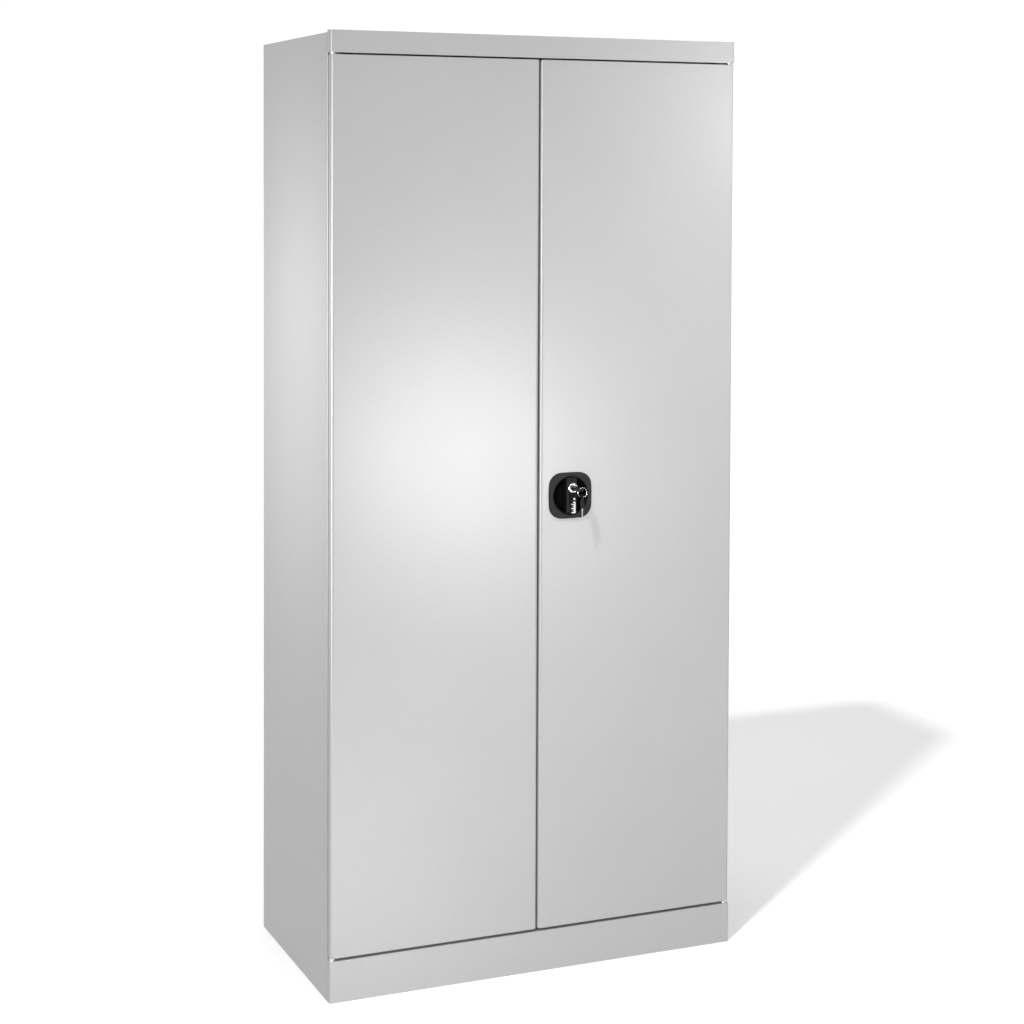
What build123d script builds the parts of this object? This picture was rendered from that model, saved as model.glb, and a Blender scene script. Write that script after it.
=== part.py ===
from build123d import *
import os
from math import atan2, cos, pi, radians, sin, sqrt, tan

os.makedirs("parts", exist_ok=True)

# A steel cupboard with two full-height doors, adjustable shelves and a three-point rod lock.
# Millimetres. +Z is up and the doors face -Y. The origin is on the floor, under the middle
# of the whole part with its hanging keys.

# Cabinet, overall
cabinet_width = 910.0
cabinet_height = 1950.0
cabinet_depth = 470.0
header_step = 4.6          # the header stands this much above the side panels
header_height = 45.0
plinth_height = 84.0
top_gap = 3.5
bottom_gap = 5.5
centre_gap = 3.5
door_inset = 2.0           # each door stops this much short of the cabinet's side
carcass_setback = 19.0     # the side panels start this far behind the doors' faces

# Sheet steel
sheet = 1.0
big_bend = 7.0
small_bend = 1.5
post_bend = 3.0
edge_round = 1.2
cut_over = 5.0

# Doors
door_thickness = 15.5
door_lip = 22.0
stiffener_width = 70.0
stiffener_crown = 36.0
stiffener_depth = 12.0
stiffener_bend = 2.5
stiffener_end_gap = 90.0

# Side panels and carcass
post_width = 28.0
post_lip = 12.0
rear_flange = 20.0
floor_flange = 24.0
pan_flange = 24.0
base_flange = 22.0
swage_width = 30.0
swage_depth = 2.0
swage_place = 170.0
swage_end_gap = 120.0
header_cap_depth = 26.0
header_upstand = 22.0
plinth_downstand = 20.0
rail_depth = 34.0
rail_lip = 14.0

# Shelf uprights, shelves and clips
upright_width = 20.0
upright_depth = 14.0
slot_width = 8.0
slot_height = 4.0
slot_pitch = 60.0
first_slot = 42.0          # the lowest slot's top above the base
slot_end_gap = 30.0
upright_setback = 12.0     # the front uprights stand this far behind the shelves' front edges
pitches_per_shelf = 6
shelf_count = 4
shelf_side_gap = 2.0
shelf_front_gap = 26.0
shelf_rear_gap = 5.0
shelf_height = 25.0
shelf_lip = 12.0
clip_steel = 1.5
clip_width = 14.0
clip_ledge = 12.0
clip_rise = 9.0
clip_drop = 12.0
clip_slot_rise = 7.0       # a clip's slot reaches this much above its ledge
clip_tab = 3.0
clip_hook = 4.0
clip_play = 0.3

# Door pivots
pivot_side = 9.0           # from the cabinet's side to the pin
pivot_front = 9.0          # from the doors' faces to the pin
pin_radius = 3.5
pin_play = 0.06
pin_reach = 10.0
pin_collar_radius = 5.5
pin_head_radius = 5.0
pin_head_height = 2.0
bush_radius = 4.8
bush_flange_radius = 6.2
bush_flange = 1.2
bush_depth = 9.0
bush_play = 0.3

# Rubber door buffers and levelling feet
buffer_radius = 5.0
buffer_post_inset = 22.0
buffer_end_gap = 220.0
foot_radius = 15.0
foot_height = 8.0
foot_stem_radius = 5.0
foot_stem_height = 62.0
foot_nut_width = 17.0
foot_nut_height = 7.0
foot_inset = 46.0
foot_front = 66.0
foot_rear = 66.0
bracket_steel = 2.0
bracket_width = 40.0
bracket_reach = 60.0
bracket_level = 45.0
bracket_drop = 20.0
rivet_radius = 3.2
rivet_height = 1.2
rivet_rows = 5
rivet_end_gap = 60.0
rivet_inset = 11.0

# Lock, measured outwards from the right door's face
lock_x = 70.0
lock_z = 996.0
bezel_size = 96.0
bezel_swell = 2.5          # the bezel's sides bow out by this much at their middles
bezel_corner = 27.0
bezel_rise = 5.5
bezel_round = 2.2
dish_radius = 40.5
dish_floor_radius = 31.5
dish_floor = 6.5           # how far the dish's floor lies behind the door's face
step_radius = 38.2         # a sloped step goes round inside the dish, from here
step_level = 0.8
step_floor_radius = 34.9   # to here
step_floor = 1.7
dish_wall = 2.0
bezel_post_radius = 3.5
bezel_post_place = 42.4
hole_play = 0.5

# Turning handle
bar_width = 23.0
bar_rise = 13.0
bar_end_gap = 1.2
bar_round = 4.5
bar_slope = 6.0
disc_thickness = 2.0
turn_gap = 0.5
neck_radius = 8.0
turn_play = 0.08
spindle_width = 8.0
spindle_hold = 3.0
barrel_place = 17.4        # the cylinder's centre above the handle's axis
barrel_radius = 8.0
barrel_back = 3.0
barrel_proud = 4.6
collar_radius = 10.3
collar_height = 5.0
collar_round = 1.6
plug_radius = 6.0
plug_proud = 4.4
plug_back = 1.5

# Keys and ring
blade_width = 8.0
blade_thickness = 2.0
blade_length = 18.0
blade_cut = 1.6
blade_cuts = 5
keyway_play = 0.2
shoulder_width = 11.0
shoulder_thickness = 2.6
shoulder_length = 5.0
head_width = 22.0
head_length = 28.0
head_thickness = 7.0
head_corner = 9.0
head_round = 1.4
lobe_thickness = 4.6
lobe_length = 11.0
ring_slot_width = 10.6
ring_slot_height = 4.6
ring_slot_inset = 6.5
ring_radius = 10.2
ring_wire = 0.8
ring_drop = 6.2            # the ring's centre hangs this much below the key
ring_play = 0.6
spare_key_turn = -22.0     # the spare key is turned this far, its outer edge to the left

# Rod lock behind the door
tooth_module = 1.5
pinion_teeth = 14
pressure_angle = 20.0
tooth_addendum_ratio = 0.85
tooth_dedendum_ratio = 1.2
tooth_backlash = 0.25
pinion_thickness = 5.0
pinion_hub_radius = 7.0
rod_width = 10.0
rod_thickness = 4.0
rod_round = 1.5
rod_setback = 1.0
rod_mid_depth = 19.5
rack_teeth_behind = 2
rack_teeth_ahead = 6
case_plate = 2.0
case_wall = 2.0
case_depth = 16.0
case_half_height = 39.0
case_cover = 1.5
case_round = 3.0
plate_half_height = 47.0
rod_play = 0.4
post_radius = 3.0
screw_radius = 1.5
screw_head_radius = 3.0
screw_head_height = 1.5
lever_steel = 2.5
lever_gap = 2.0
lever_width = 16.0
lever_reach = 74.0
lever_foot = 12.0
lever_hub_radius = 11.0
washer_radius = 7.0
washer_height = 1.5
keeper_play = 1.5
guide_width = 18.0
guide_height = 12.0
guide_rear = 3.0
guide_end_gap = 18.0
guide_mid_shares = (0.5,)

# Places that follow from the sizes above
side = cabinet_width / 2
ring_slot_place = shoulder_length + head_length - ring_slot_inset
ring_level = bar_rise + plug_proud + turn_gap + ring_slot_place
key_reach = ring_level + head_width / 2
front = (key_reach - cabinet_depth) / 2
rear = front + cabinet_depth
carcass_front = front + carcass_setback
carcass_top = cabinet_height - header_step
header_bottom = cabinet_height - header_height
door_top = header_bottom - top_gap
door_bottom = plinth_height + bottom_gap
door_outer = side - door_inset
door_inner = centre_gap / 2
door_back = front + door_thickness
post_inner = side - post_width
lip_back = carcass_front + post_lip
panel_face = rear - sheet - sheet
pan_front = lip_back + sheet
pan_rear = panel_face
pan_ceiling = carcass_top - sheet - pan_flange
pivot_x = side - pivot_side
pivot_y = front + pivot_front
upright_face = side - sheet - upright_depth
shelf_side = upright_face - shelf_side_gap
shelf_front = carcass_front + shelf_front_gap
shelf_rear = panel_face - swage_depth - shelf_rear_gap + sheet
shelf_above_slot = shelf_height - clip_slot_rise
lowest_slot = plinth_height + first_slot
shelf_slots = [lowest_slot + (pitches_per_shelf * (k + 1) - 1) * slot_pitch for k in range(shelf_count)]
shelf_tops = [slot + shelf_above_slot for slot in shelf_slots]
pinion_radius = tooth_module * pinion_teeth / 2
tooth_pitch = pi * tooth_module
addendum = tooth_addendum_ratio * tooth_module
dedendum = tooth_dedendum_ratio * tooth_module
rack_root = pinion_radius + dedendum
rod_centre = rack_root + rod_width / 2
case_back = dish_floor + dish_wall
cover_face = case_back + case_depth
lever_face = cover_face + case_cover + lever_gap
lever_back = lever_face + lever_steel
post_rise = case_half_height - case_wall - post_radius / 2
door_face = Plane(origin=(lock_x, front, lock_z), x_dir=(1, 0, 0), z_dir=(0, -1, 0))


def block(x_span, y_span, z_span):
    """A square-edged block between three pairs of places."""
    (x0, x1), (y0, y1), (z0, z1) = x_span, y_span, z_span
    middle = Pos((x0 + x1) / 2, (y0 + y1) / 2, (z0 + z1) / 2)
    return middle * Box(abs(x1 - x0), abs(y1 - y0), abs(z1 - z0))


def disc(radius, low, high, x=0, y=0):
    """A round bar along Z between two heights."""
    return Pos(x, y, (low + high) / 2) * Cylinder(radius, abs(high - low))


def mirrored(piece):
    """The same piece on the cabinet's other side."""
    return mirror(piece, about=Plane.YZ)


def both_sides(pieces):
    """Pieces of the right side together with their mirror images."""
    return pieces + [mirrored(p) for p in pieces]


def outline(x0, x1, y0, y1, front_bend, back_bend):
    """A flat rectangle whose two front corners and two back corners are rounded."""
    face = Pos((x0 + x1) / 2, (y0 + y1) / 2) * Rectangle(x1 - x0, y1 - y0)
    corners = face.vertices().sort_by(Axis.Y)
    if back_bend:
        face = fillet(corners[2:], back_bend)
        corners = face.vertices().sort_by(Axis.Y)
    return fillet(corners[:2], front_bend)


def raised(face, low, high):
    """A flat outline pulled up between two heights."""
    return Pos(0, 0, low) * extrude(face, high - low)


def save(name, *solids):
    """Write one node from its solids."""
    flat = [s for piece in solids for s in piece.solids()]
    export_step(flat[0] if len(flat) == 1 else Compound(children=flat), f"parts/{name}.step")


# Side panels: one folded sheet each, with a hollow front post, a rear flange and a floor flange
def side_panel():
    tube = outline(post_inner, side, carcass_front, rear, post_bend, 0)
    inside = (post_inner + sheet, side - sheet, carcass_front + sheet, rear - sheet)
    core = outline(*inside, post_bend - sheet, 0)
    panel = raised(tube, 0, carcass_top) - raised(core, 0, carcass_top)
    panel -= block((post_inner - cut_over, post_inner + sheet), (lip_back, rear + cut_over), (0, carcass_top))
    panel -= block((post_inner, side - rear_flange), (rear - sheet, rear), (0, carcass_top))
    floor = block((side - floor_flange, side - sheet), (carcass_front + sheet, rear - sheet), (0, sheet))
    cap_z = (carcass_top - sheet, carcass_top)
    post_cap = block((post_inner, side - sheet), (carcass_front + sheet, pan_front), cap_z)
    return panel + floor + post_cap


# Back panel: a flat sheet with two long swages pressed inwards
def back_panel():
    across = (-side + sheet, side - sheet)
    panel = block(across, (panel_face, panel_face + sheet), (sheet, carcass_top - sheet))
    for x in (-swage_place, swage_place):
        z_span = (plinth_height + swage_end_gap, carcass_top - swage_end_gap)
        ridge_x = (x - swage_width / 2, x + swage_width / 2)
        ridge = block(ridge_x, (panel_face - swage_depth, panel_face), z_span)
        ridge = chamfer(ridge.edges().filter_by(Axis.Z).group_by(Axis.Y)[0], swage_depth - edge_round)
        panel += ridge
        groove_z = (z_span[0] + sheet, z_span[1] - sheet)
        groove_x = (x - swage_width / 2 + sheet, x + swage_width / 2 - sheet)
        panel -= block(groove_x, (panel_face - swage_depth + sheet, panel_face + sheet), groove_z)
    return panel


# Top and base: pans with a flange turned down on every side
def flanged_pan(top, flange):
    width = side - sheet
    pan = block((-width, width), (pan_front, pan_rear), (top - flange - sheet, top))
    inside_x = (-width + sheet, width - sheet)
    pan -= block(inside_x, (pan_front + sheet, pan_rear - sheet), (top - flange - sheet, top - sheet))
    return pan


# Header and plinth: hollow front rails with rounded corners and returns along the sides
def front_rail(low, high):
    shell = raised(outline(-side, side, front, carcass_front, big_bend, 0), low, high)
    inner = outline(-side + sheet, side - sheet, front + sheet, carcass_front + cut_over, big_bend - sheet, 0)
    return shell - raised(inner, low + sheet, high - sheet)


def pivot_holes(low, high):
    return both_sides([disc(pin_radius, low, high, pivot_x, pivot_y)])


def rod_hole(across, low, high):
    """Where a lock rod enters a rail; across is the rod's place beside the lock."""
    x = lock_x + across
    half = rod_width / 2 + keeper_play
    y = front + rod_mid_depth
    half_y = rod_thickness / 2 + keeper_play
    return block((x - half, x + half), (y - half_y, y + half_y), (low, high))


def header():
    rail = front_rail(header_bottom, cabinet_height)
    inner = post_inner - keeper_play
    across = (-inner, inner)
    rail += block(across, (carcass_front, lip_back), (header_bottom, header_bottom + sheet))
    rail += block(across, (lip_back, lip_back + sheet), (header_bottom, header_bottom + header_upstand))
    cap_back = carcass_front + header_cap_depth
    rail += block(across, (carcass_front, cap_back), (cabinet_height - sheet, cabinet_height))
    rail += block(across, (cap_back - sheet, cap_back), (carcass_top, cabinet_height))
    for hole in pivot_holes(header_bottom - cut_over, header_bottom + cut_over):
        rail -= hole
    return rail - rod_hole(-rod_centre, header_bottom - cut_over, header_bottom + cut_over)


def plinth():
    rail = front_rail(0, plinth_height)
    inner = post_inner - keeper_play
    across = (-inner, inner)
    rail += block(across, (carcass_front, lip_back), (plinth_height - sheet, plinth_height))
    rail += block(across, (lip_back, lip_back + sheet), (plinth_height - plinth_downstand, plinth_height))
    for hole in pivot_holes(plinth_height - cut_over, plinth_height + cut_over):
        rail -= hole
    return rail - rod_hole(rod_centre, plinth_height - cut_over, plinth_height + cut_over)


def rear_base_rail():
    """A channel under the base, across the back."""
    x_span = (-side + floor_flange, side - floor_flange)
    high = plinth_height - sheet
    y0 = pan_rear - sheet - rail_depth
    rail = block(x_span, (y0, pan_rear - sheet), (0, high))
    hollow = block(x_span, (y0 + sheet, pan_rear - sheet - sheet), (sheet, high - sheet))
    front_cut = block(x_span, (y0 + sheet, pan_rear - sheet - sheet - rail_lip), (0, sheet))
    return rail - hollow - front_cut


# Shelf uprights: slotted channels standing on the base against the side panels
def upright(y0):
    low, high = plinth_height, pan_ceiling
    count = int((high - low - first_slot - slot_end_gap) / slot_pitch) + 1
    channel = block((upright_face, side - sheet), (y0, y0 + upright_width), (low, high))
    inside_y = (y0 + sheet, y0 + upright_width - sheet)
    channel -= block((upright_face + sheet, side - sheet), inside_y, (low, high))
    middle = y0 + upright_width / 2
    slot_x = (upright_face - cut_over, upright_face + sheet)
    slot_y = (middle - slot_width / 2, middle + slot_width / 2)
    tops = [low + first_slot + n * slot_pitch for n in range(count)]
    return channel - [block(slot_x, slot_y, (top - slot_height, top)) for top in tops]


upright_places = {"front": shelf_front + upright_setback, "rear": shelf_rear - upright_width}


# Shelves: folded pans with a lip under the front and rear edges
def shelf(top):
    low = top - shelf_height
    pan = block((-shelf_side, shelf_side), (shelf_front, shelf_rear), (low, top))
    pan = fillet(pan.edges().filter_by(Axis.X).group_by(Axis.Z)[-1], small_bend)
    inner_x = (-shelf_side + sheet, shelf_side - sheet)
    pan -= block(inner_x, (shelf_front + sheet, shelf_rear - sheet), (low + sheet, top - sheet))
    pan -= block(inner_x, (shelf_front + shelf_lip, shelf_rear - shelf_lip), (low, low + sheet))
    return pan


def shelf_clip(y_middle, ledge):
    """A bent clip: a hook through the slot, a back on the upright and a ledge under the shelf."""
    y_span = (y_middle - clip_width / 2, y_middle + clip_width / 2)
    face = upright_face
    clip = block((face - clip_steel, face), y_span, (ledge - clip_drop, ledge + clip_rise))
    clip += block((face - clip_ledge, face), y_span, (ledge - clip_steel, ledge))
    hook_y = (y_middle - slot_width / 2 + clip_play, y_middle + slot_width / 2 - clip_play)
    hook_top = ledge + clip_slot_rise - clip_play
    neck_low = hook_top - slot_height + clip_play + clip_play
    clip += block((face - clip_steel, face + clip_tab), hook_y, (neck_low, hook_top))
    return clip + block((face + sheet + clip_play, face + clip_tab), hook_y, (neck_low - clip_hook, hook_top))


# Door pivots: a shouldered pin in each rail corner and a flanged nylon bush in the door
def upper_pin():
    pin = disc(pin_radius, door_top - pin_reach, header_bottom + sheet + pin_head_height, pivot_x, pivot_y)
    collar_low = door_top + bush_flange + bush_play
    pin += disc(pin_collar_radius, collar_low, header_bottom, pivot_x, pivot_y)
    return pin + disc(pin_head_radius, header_bottom + sheet, header_bottom + sheet + pin_head_height,
                      pivot_x, pivot_y)


def lower_pin():
    plate = plinth_height - sheet
    pin = disc(pin_radius, plate - pin_head_height, door_bottom + pin_reach, pivot_x, pivot_y)
    pin += disc(pin_collar_radius, plinth_height, door_bottom - bush_flange - bush_play, pivot_x, pivot_y)
    return pin + disc(pin_head_radius, plate - pin_head_height, plate, pivot_x, pivot_y)


def bush(edge, inward):
    """A bush in a door's end flange; inward is +1 upwards and -1 downwards into the door."""
    body = disc(bush_radius, edge, edge + inward * bush_depth, pivot_x, pivot_y)
    body += disc(bush_flange_radius, edge, edge - inward * bush_flange, pivot_x, pivot_y)
    bore = disc(pin_radius + pin_play, edge - inward * cut_over, edge + inward * (bush_depth + cut_over),
                pivot_x, pivot_y)
    return body - bore


# Doors: pans of one folded sheet, rounded along both long edges
def door_panel():
    face = outline(door_inner, door_outer, front, door_back, big_bend, small_bend)
    pan = raised(face, door_bottom, door_top)
    rim = pan.faces().filter_by(Axis.Z).edges().filter_by(lambda e: e.center().Y < front + big_bend)
    pan = chamfer(rim, edge_round)
    inside = (door_inner + sheet, door_outer - sheet, front + sheet, door_back - sheet)
    inner = outline(*inside, big_bend - sheet, 0)
    z_span = (door_bottom + sheet, door_top - sheet)
    pan -= raised(inner, *z_span)
    pan -= block((door_inner + door_lip, door_outer - door_lip), (door_back - 2 * sheet, door_back), z_span)
    for low, high in ((door_bottom, door_bottom + sheet), (door_top - sheet, door_top)):
        pan -= disc(bush_radius, low, high, pivot_x, pivot_y)
    return pan


def stiffener():
    """A hat-shaped stiffener welded down the middle of the door's skin."""
    middle = (door_inner + door_outer) / 2
    skin = front + sheet + sheet / 2
    crown = front + sheet + stiffener_depth
    half, crown_half = stiffener_width / 2, stiffener_crown / 2
    path = FilletPolyline(
        (middle - half, skin), (middle - crown_half, skin), (middle - crown_half, crown),
        (middle + crown_half, crown), (middle + crown_half, skin), (middle + half, skin),
        radius=stiffener_bend)
    hat = trace(path, line_width=sheet)
    return raised(hat, door_bottom + stiffener_end_gap, door_top - stiffener_end_gap)


# Lock pieces are drawn flat on the door: x to the right, y up and z outwards from the door's face
def on_door(piece):
    return door_face.location * piece


def dish_profile(radius_add, floor_add, top):
    """The dish's section, grown by a wall and closed along the axis."""
    slope = (dish_radius - dish_floor_radius) / (dish_floor + bezel_rise)
    floor = -dish_floor - floor_add
    floor_radius = dish_floor_radius + radius_add - slope * floor_add
    top_radius = floor_radius + slope * (top - floor)
    return Polyline((0, floor), (floor_radius, floor), (top_radius, top), (0, top), close=True)


def turned(profile):
    """A section drawn beside the axis, spun about the lock's axis."""
    return revolve(Plane.XZ * make_face(profile), Axis.Z)


def stepped_dish():
    """What fingers reach into: a cone with a sloped step half way down."""
    return turned(Polyline(
        (0, -dish_floor), (dish_floor_radius, -dish_floor), (step_floor_radius, -step_floor),
        (step_radius, step_level), (dish_radius, bezel_rise), (0, bezel_rise), close=True))


def swollen_square(size, swell, corner):
    """A square whose sides bow out between rounded corners."""
    half, inner = size / 2, size / 2 - swell
    crests = [(half, 0), (0, half), (-half, 0), (0, -half)]
    corners = [(inner, -inner), (inner, inner), (-inner, inner), (-inner, -inner)]
    ends = corners[1:] + corners[:1]
    face = make_face([ThreePointArc(*points) for points in zip(corners, crests, ends)])
    return fillet(face.vertices(), corner)


def bezel_posts(radius, low, high):
    return [disc(radius, low, high, 0, y) for y in (-bezel_post_place, bezel_post_place)]


def lock_bezel():
    rim = extrude(swollen_square(bezel_size, bezel_swell, bezel_corner), bezel_rise)
    rim = fillet(rim.edges().group_by(Axis.Z)[-1], bezel_round)
    bowl = turned(dish_profile(dish_wall, dish_wall, 0))
    body = rim + bowl - stepped_dish()
    for post in bezel_posts(bezel_post_radius, -case_back, 0):
        body += post
    return body - disc(neck_radius + turn_play, -case_back, 0)


def lock_holes():
    """What the right door's skin loses to the lock."""
    hole = turned(dish_profile(dish_wall + hole_play, dish_wall, 0))
    hole = hole & disc(bezel_size, -sheet - sheet, 0)
    for post in bezel_posts(bezel_post_radius + hole_play, -sheet - sheet, 0):
        hole += post
    return hole


def envelope(gap):
    """What the handle may fill inside the dish and in front of it."""
    low = -dish_floor + turn_gap
    slope = (dish_radius - dish_floor_radius) / (dish_floor + bezel_rise)
    return turned(Polyline(
        (0, low), (dish_floor_radius - gap, low), (dish_radius - gap - slope * turn_gap, bezel_rise),
        (dish_radius - gap - bar_slope, bar_rise), (0, bar_rise), close=True))


def turn_handle():
    low = -dish_floor + turn_gap
    bar = Pos(0, 0, low) * extrude(Rectangle(bar_width, 2 * dish_radius), bar_rise - low)
    bar = bar & envelope(bar_end_gap)
    crest = bar.faces().sort_by(Axis.Z)[-1]
    bar = fillet(crest.edges(), bar_round)
    body = bar + disc(dish_floor_radius - bar_end_gap, low, low + disc_thickness)
    body += disc(neck_radius, -case_back + turn_gap / 2, low)
    body -= block((-spindle_width / 2, spindle_width / 2), (-spindle_width / 2, spindle_width / 2),
                  (-case_back, spindle_hold))
    return body - disc(barrel_radius, -barrel_back, bar_rise + cut_over, 0, barrel_place)


def cylinder_barrel():
    tube = disc(barrel_radius, -barrel_back, bar_rise + barrel_proud, 0, barrel_place)
    return tube - disc(plug_radius + turn_play, -plug_back, bar_rise + cut_over, 0, barrel_place)


def cylinder_collar():
    ring = disc(collar_radius, bar_rise, bar_rise + collar_height, 0, barrel_place)
    ring = fillet(ring.edges().filter_by(GeomType.CIRCLE).group_by(Axis.Z)[-1], collar_round)
    top = bar_rise + collar_height + cut_over
    return ring - disc(barrel_radius, bar_rise - cut_over, top, 0, barrel_place)


def cylinder_plug():
    plug = disc(plug_radius, -plug_back + turn_gap, bar_rise + plug_proud, 0, barrel_place)
    half_x, half_y = blade_width / 2 + keyway_play, blade_thickness / 2 + keyway_play
    return plug - block((-half_x, half_x), (barrel_place - half_y, barrel_place + half_y),
                        (-plug_back + turn_gap + turn_gap, bar_rise + cut_over))


# Keys are drawn with the shoulder's tip at the origin, the blade below and the head above
def key_blade():
    half = blade_width / 2
    blade = block((-half, half), (-blade_thickness / 2, blade_thickness / 2), (-blade_length, 0))
    tip = chamfer(blade.edges().filter_by(Axis.Y).group_by(Axis.Z)[0], half - blade_cut)
    step = blade_length / (blade_cuts + 1)
    for n in range(blade_cuts):
        z = -step * (n + 1) + step / 2
        depth = blade_cut * (1 + (n % 2)) / 2
        outside = half + blade_cut
        notch = Polyline((outside, z - step / 2), (half - depth, z), (outside, z + step / 2), close=True)
        tip -= extrude(Plane.XZ * make_face(notch), blade_thickness, both=True)
    shoulder_x = (-shoulder_width / 2, shoulder_width / 2)
    shoulder_y = (-shoulder_thickness / 2, shoulder_thickness / 2)
    return tip + block(shoulder_x, shoulder_y, (0, shoulder_length))


def key_head():
    low = shoulder_length
    middle = Pos(0, low + head_length / 2)
    face = Plane.XZ * (middle * RectangleRounded(head_width, head_length, head_corner))
    head = extrude(face, head_thickness / 2, both=True)
    head = chamfer(head.faces().filter_by(Axis.Y).edges(), head_round)
    lobe_low = low + head_length - lobe_length
    for turn in (-1, 1):
        head -= block((-head_width, head_width), (turn * lobe_thickness / 2, turn * head_thickness),
                      (lobe_low, low + head_length + cut_over))
    slot = Pos(0, ring_slot_place) * SlotOverall(ring_slot_width, ring_slot_height)
    return head - extrude(Plane.XZ * slot, head_thickness, both=True)


key_seat = Pos(0, barrel_place, bar_rise + plug_proud + turn_gap)
ring_x = sqrt(ring_radius ** 2 - ring_drop ** 2)
ring_y = barrel_place - ring_drop
spare_slot_y = ring_y - ring_radius - (ring_slot_height / 2 - ring_wire - ring_play)


def key_ring():
    return Pos(ring_x, ring_y, ring_level) * Torus(ring_radius, ring_wire)


def spare_key(piece):
    """A key hung head up on the ring, its flat side turned away from the door's face."""
    key_place = (ring_x, spare_slot_y - ring_slot_place, ring_level)
    hung = Plane(origin=key_place, x_dir=(0, 0, 1), z_dir=(0, 1, 0))
    turned_key = Rot(0, 0, spare_key_turn) * piece
    return hung.location * turned_key


# Rod lock: a pinion on the handle's spindle drives two racks, one up and one down
def gear_outline():
    """Involute teeth on the pitch circle, with a tooth space at the racks on both sides."""
    base = pinion_radius * cos(radians(pressure_angle))
    tip, root = pinion_radius + addendum, pinion_radius - dedendum
    half_tooth = (tooth_pitch - tooth_backlash) / 2 / (2 * pinion_radius)
    lines = []
    step = 2 * pi / pinion_teeth

    def place(radius, angle):
        return (radius * cos(angle), radius * sin(angle))

    def involute(radius):
        roll = atan2(sqrt(max(radius ** 2 - base ** 2, 0)), base)
        return tan(roll) - roll

    def flank(radius):
        return half_tooth + involute(pinion_radius) - involute(radius)

    for n in range(pinion_teeth):
        middle = (n + 1 / 2) * step
        root_gap = flank(base)
        middle_radius = (base + tip) / 2
        rise = [place(root, middle - root_gap), place(base, middle - root_gap)]
        lines.append(Line(*rise))
        lines.append(ThreePointArc(rise[1], place(middle_radius, middle - flank(middle_radius)),
                                   place(tip, middle - flank(tip))))
        lines.append(ThreePointArc(place(tip, middle - flank(tip)), place(tip, middle),
                                   place(tip, middle + flank(tip))))
        fall = place(base, middle + root_gap)
        lines.append(ThreePointArc(place(tip, middle + flank(tip)),
                                   place(middle_radius, middle + flank(middle_radius)), fall))
        lines.append(Line(fall, place(root, middle + root_gap)))
        lines.append(ThreePointArc(place(root, middle + root_gap), place(root, middle + step / 2),
                                   place(root, middle + step - root_gap)))
    return make_face(Wire(lines))


def square_bore(low, high):
    half = spindle_width / 2
    return block((-half, half), (-half, half), (low, high))


def drive_pinion():
    gear = Pos(0, 0, -rod_mid_depth - pinion_thickness / 2) * extrude(gear_outline(), pinion_thickness)
    gear += disc(pinion_hub_radius, -case_back - turn_gap, -cover_face - case_cover - turn_gap)
    return gear - square_bore(-cover_face - case_cover - cut_over, 0)


def handle_spindle():
    half = spindle_width / 2
    bar = block((-half, half), (-half, half), (-lever_back, spindle_hold))
    return bar


def rack_rod(end):
    """The upper rod, beside the pinion; end is its plain end's height above the lock."""
    low = -(rack_teeth_ahead + 1 / 2) * tooth_pitch
    depth = (-rod_mid_depth - rod_thickness / 2, -rod_mid_depth + rod_thickness / 2)
    bar = block((-rack_root - rod_width, -rack_root), (low, end), depth)
    bar = fillet(bar.edges().filter_by(Axis.Z).group_by(Axis.Y)[-1], rod_round)
    half_pitch = (tooth_pitch - tooth_backlash) / 4
    lean = tan(radians(pressure_angle))
    half_root, half_tip = half_pitch + dedendum * lean, half_pitch - addendum * lean
    tip_x = -pinion_radius + addendum
    for n in range(-rack_teeth_ahead, rack_teeth_behind + 1):
        y = n * tooth_pitch
        tooth = Polyline(
            (-rack_root - rod_round, y - half_root), (-rack_root, y - half_root), (tip_x, y - half_tip),
            (tip_x, y + half_tip), (-rack_root, y + half_root), (-rack_root - rod_round, y + half_root),
            close=True)
        bar += Pos(0, 0, depth[0]) * extrude(make_face(tooth), rod_thickness)
    return bar


def rod_space(side_turn, low, high, play):
    """The space of one rod between two heights; side_turn is -1 left of the spindle and +1 right."""
    x = side_turn * rod_centre
    half = rod_width / 2 + play
    return block((x - half, x + half), (low, high),
                 (-rod_mid_depth - rod_thickness / 2 - play, -rod_mid_depth + rod_thickness / 2 + play))


def screw_places():
    x = rod_centre
    return ((x, post_rise), (-x, -post_rise), (0, post_rise), (0, -post_rise))


def lock_case():
    half = rod_centre + rod_width / 2 + rod_play
    outer = half + case_wall
    depth = (-cover_face, -case_back)
    tray = block((-outer, outer), (-case_half_height, case_half_height), depth)
    tray = fillet(tray.edges().filter_by(Axis.Z), case_round)
    inner_y = case_half_height - case_wall
    tray -= block((-half, half), (-inner_y, inner_y), (-cover_face, -case_back - case_plate))
    lug = spindle_width + case_plate
    tray += block((-lug, lug), (-plate_half_height, plate_half_height), (-case_back - case_plate, -case_back))
    tray -= rod_space(-1, 0, case_half_height + cut_over, rod_play)
    tray -= rod_space(1, 0, -case_half_height - cut_over, rod_play)
    for x, y in screw_places():
        tray += disc(post_radius, -cover_face, -case_back - case_plate, x, y)
        tray -= disc(screw_radius, -cover_face, -case_back - case_plate, x, y)
    for y in (-bezel_post_place, bezel_post_place):
        tray -= disc(screw_radius, -case_back - case_plate, -case_back, 0, y)
    return tray - disc(pinion_hub_radius + turn_play, -case_back - case_plate, -case_back)


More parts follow.
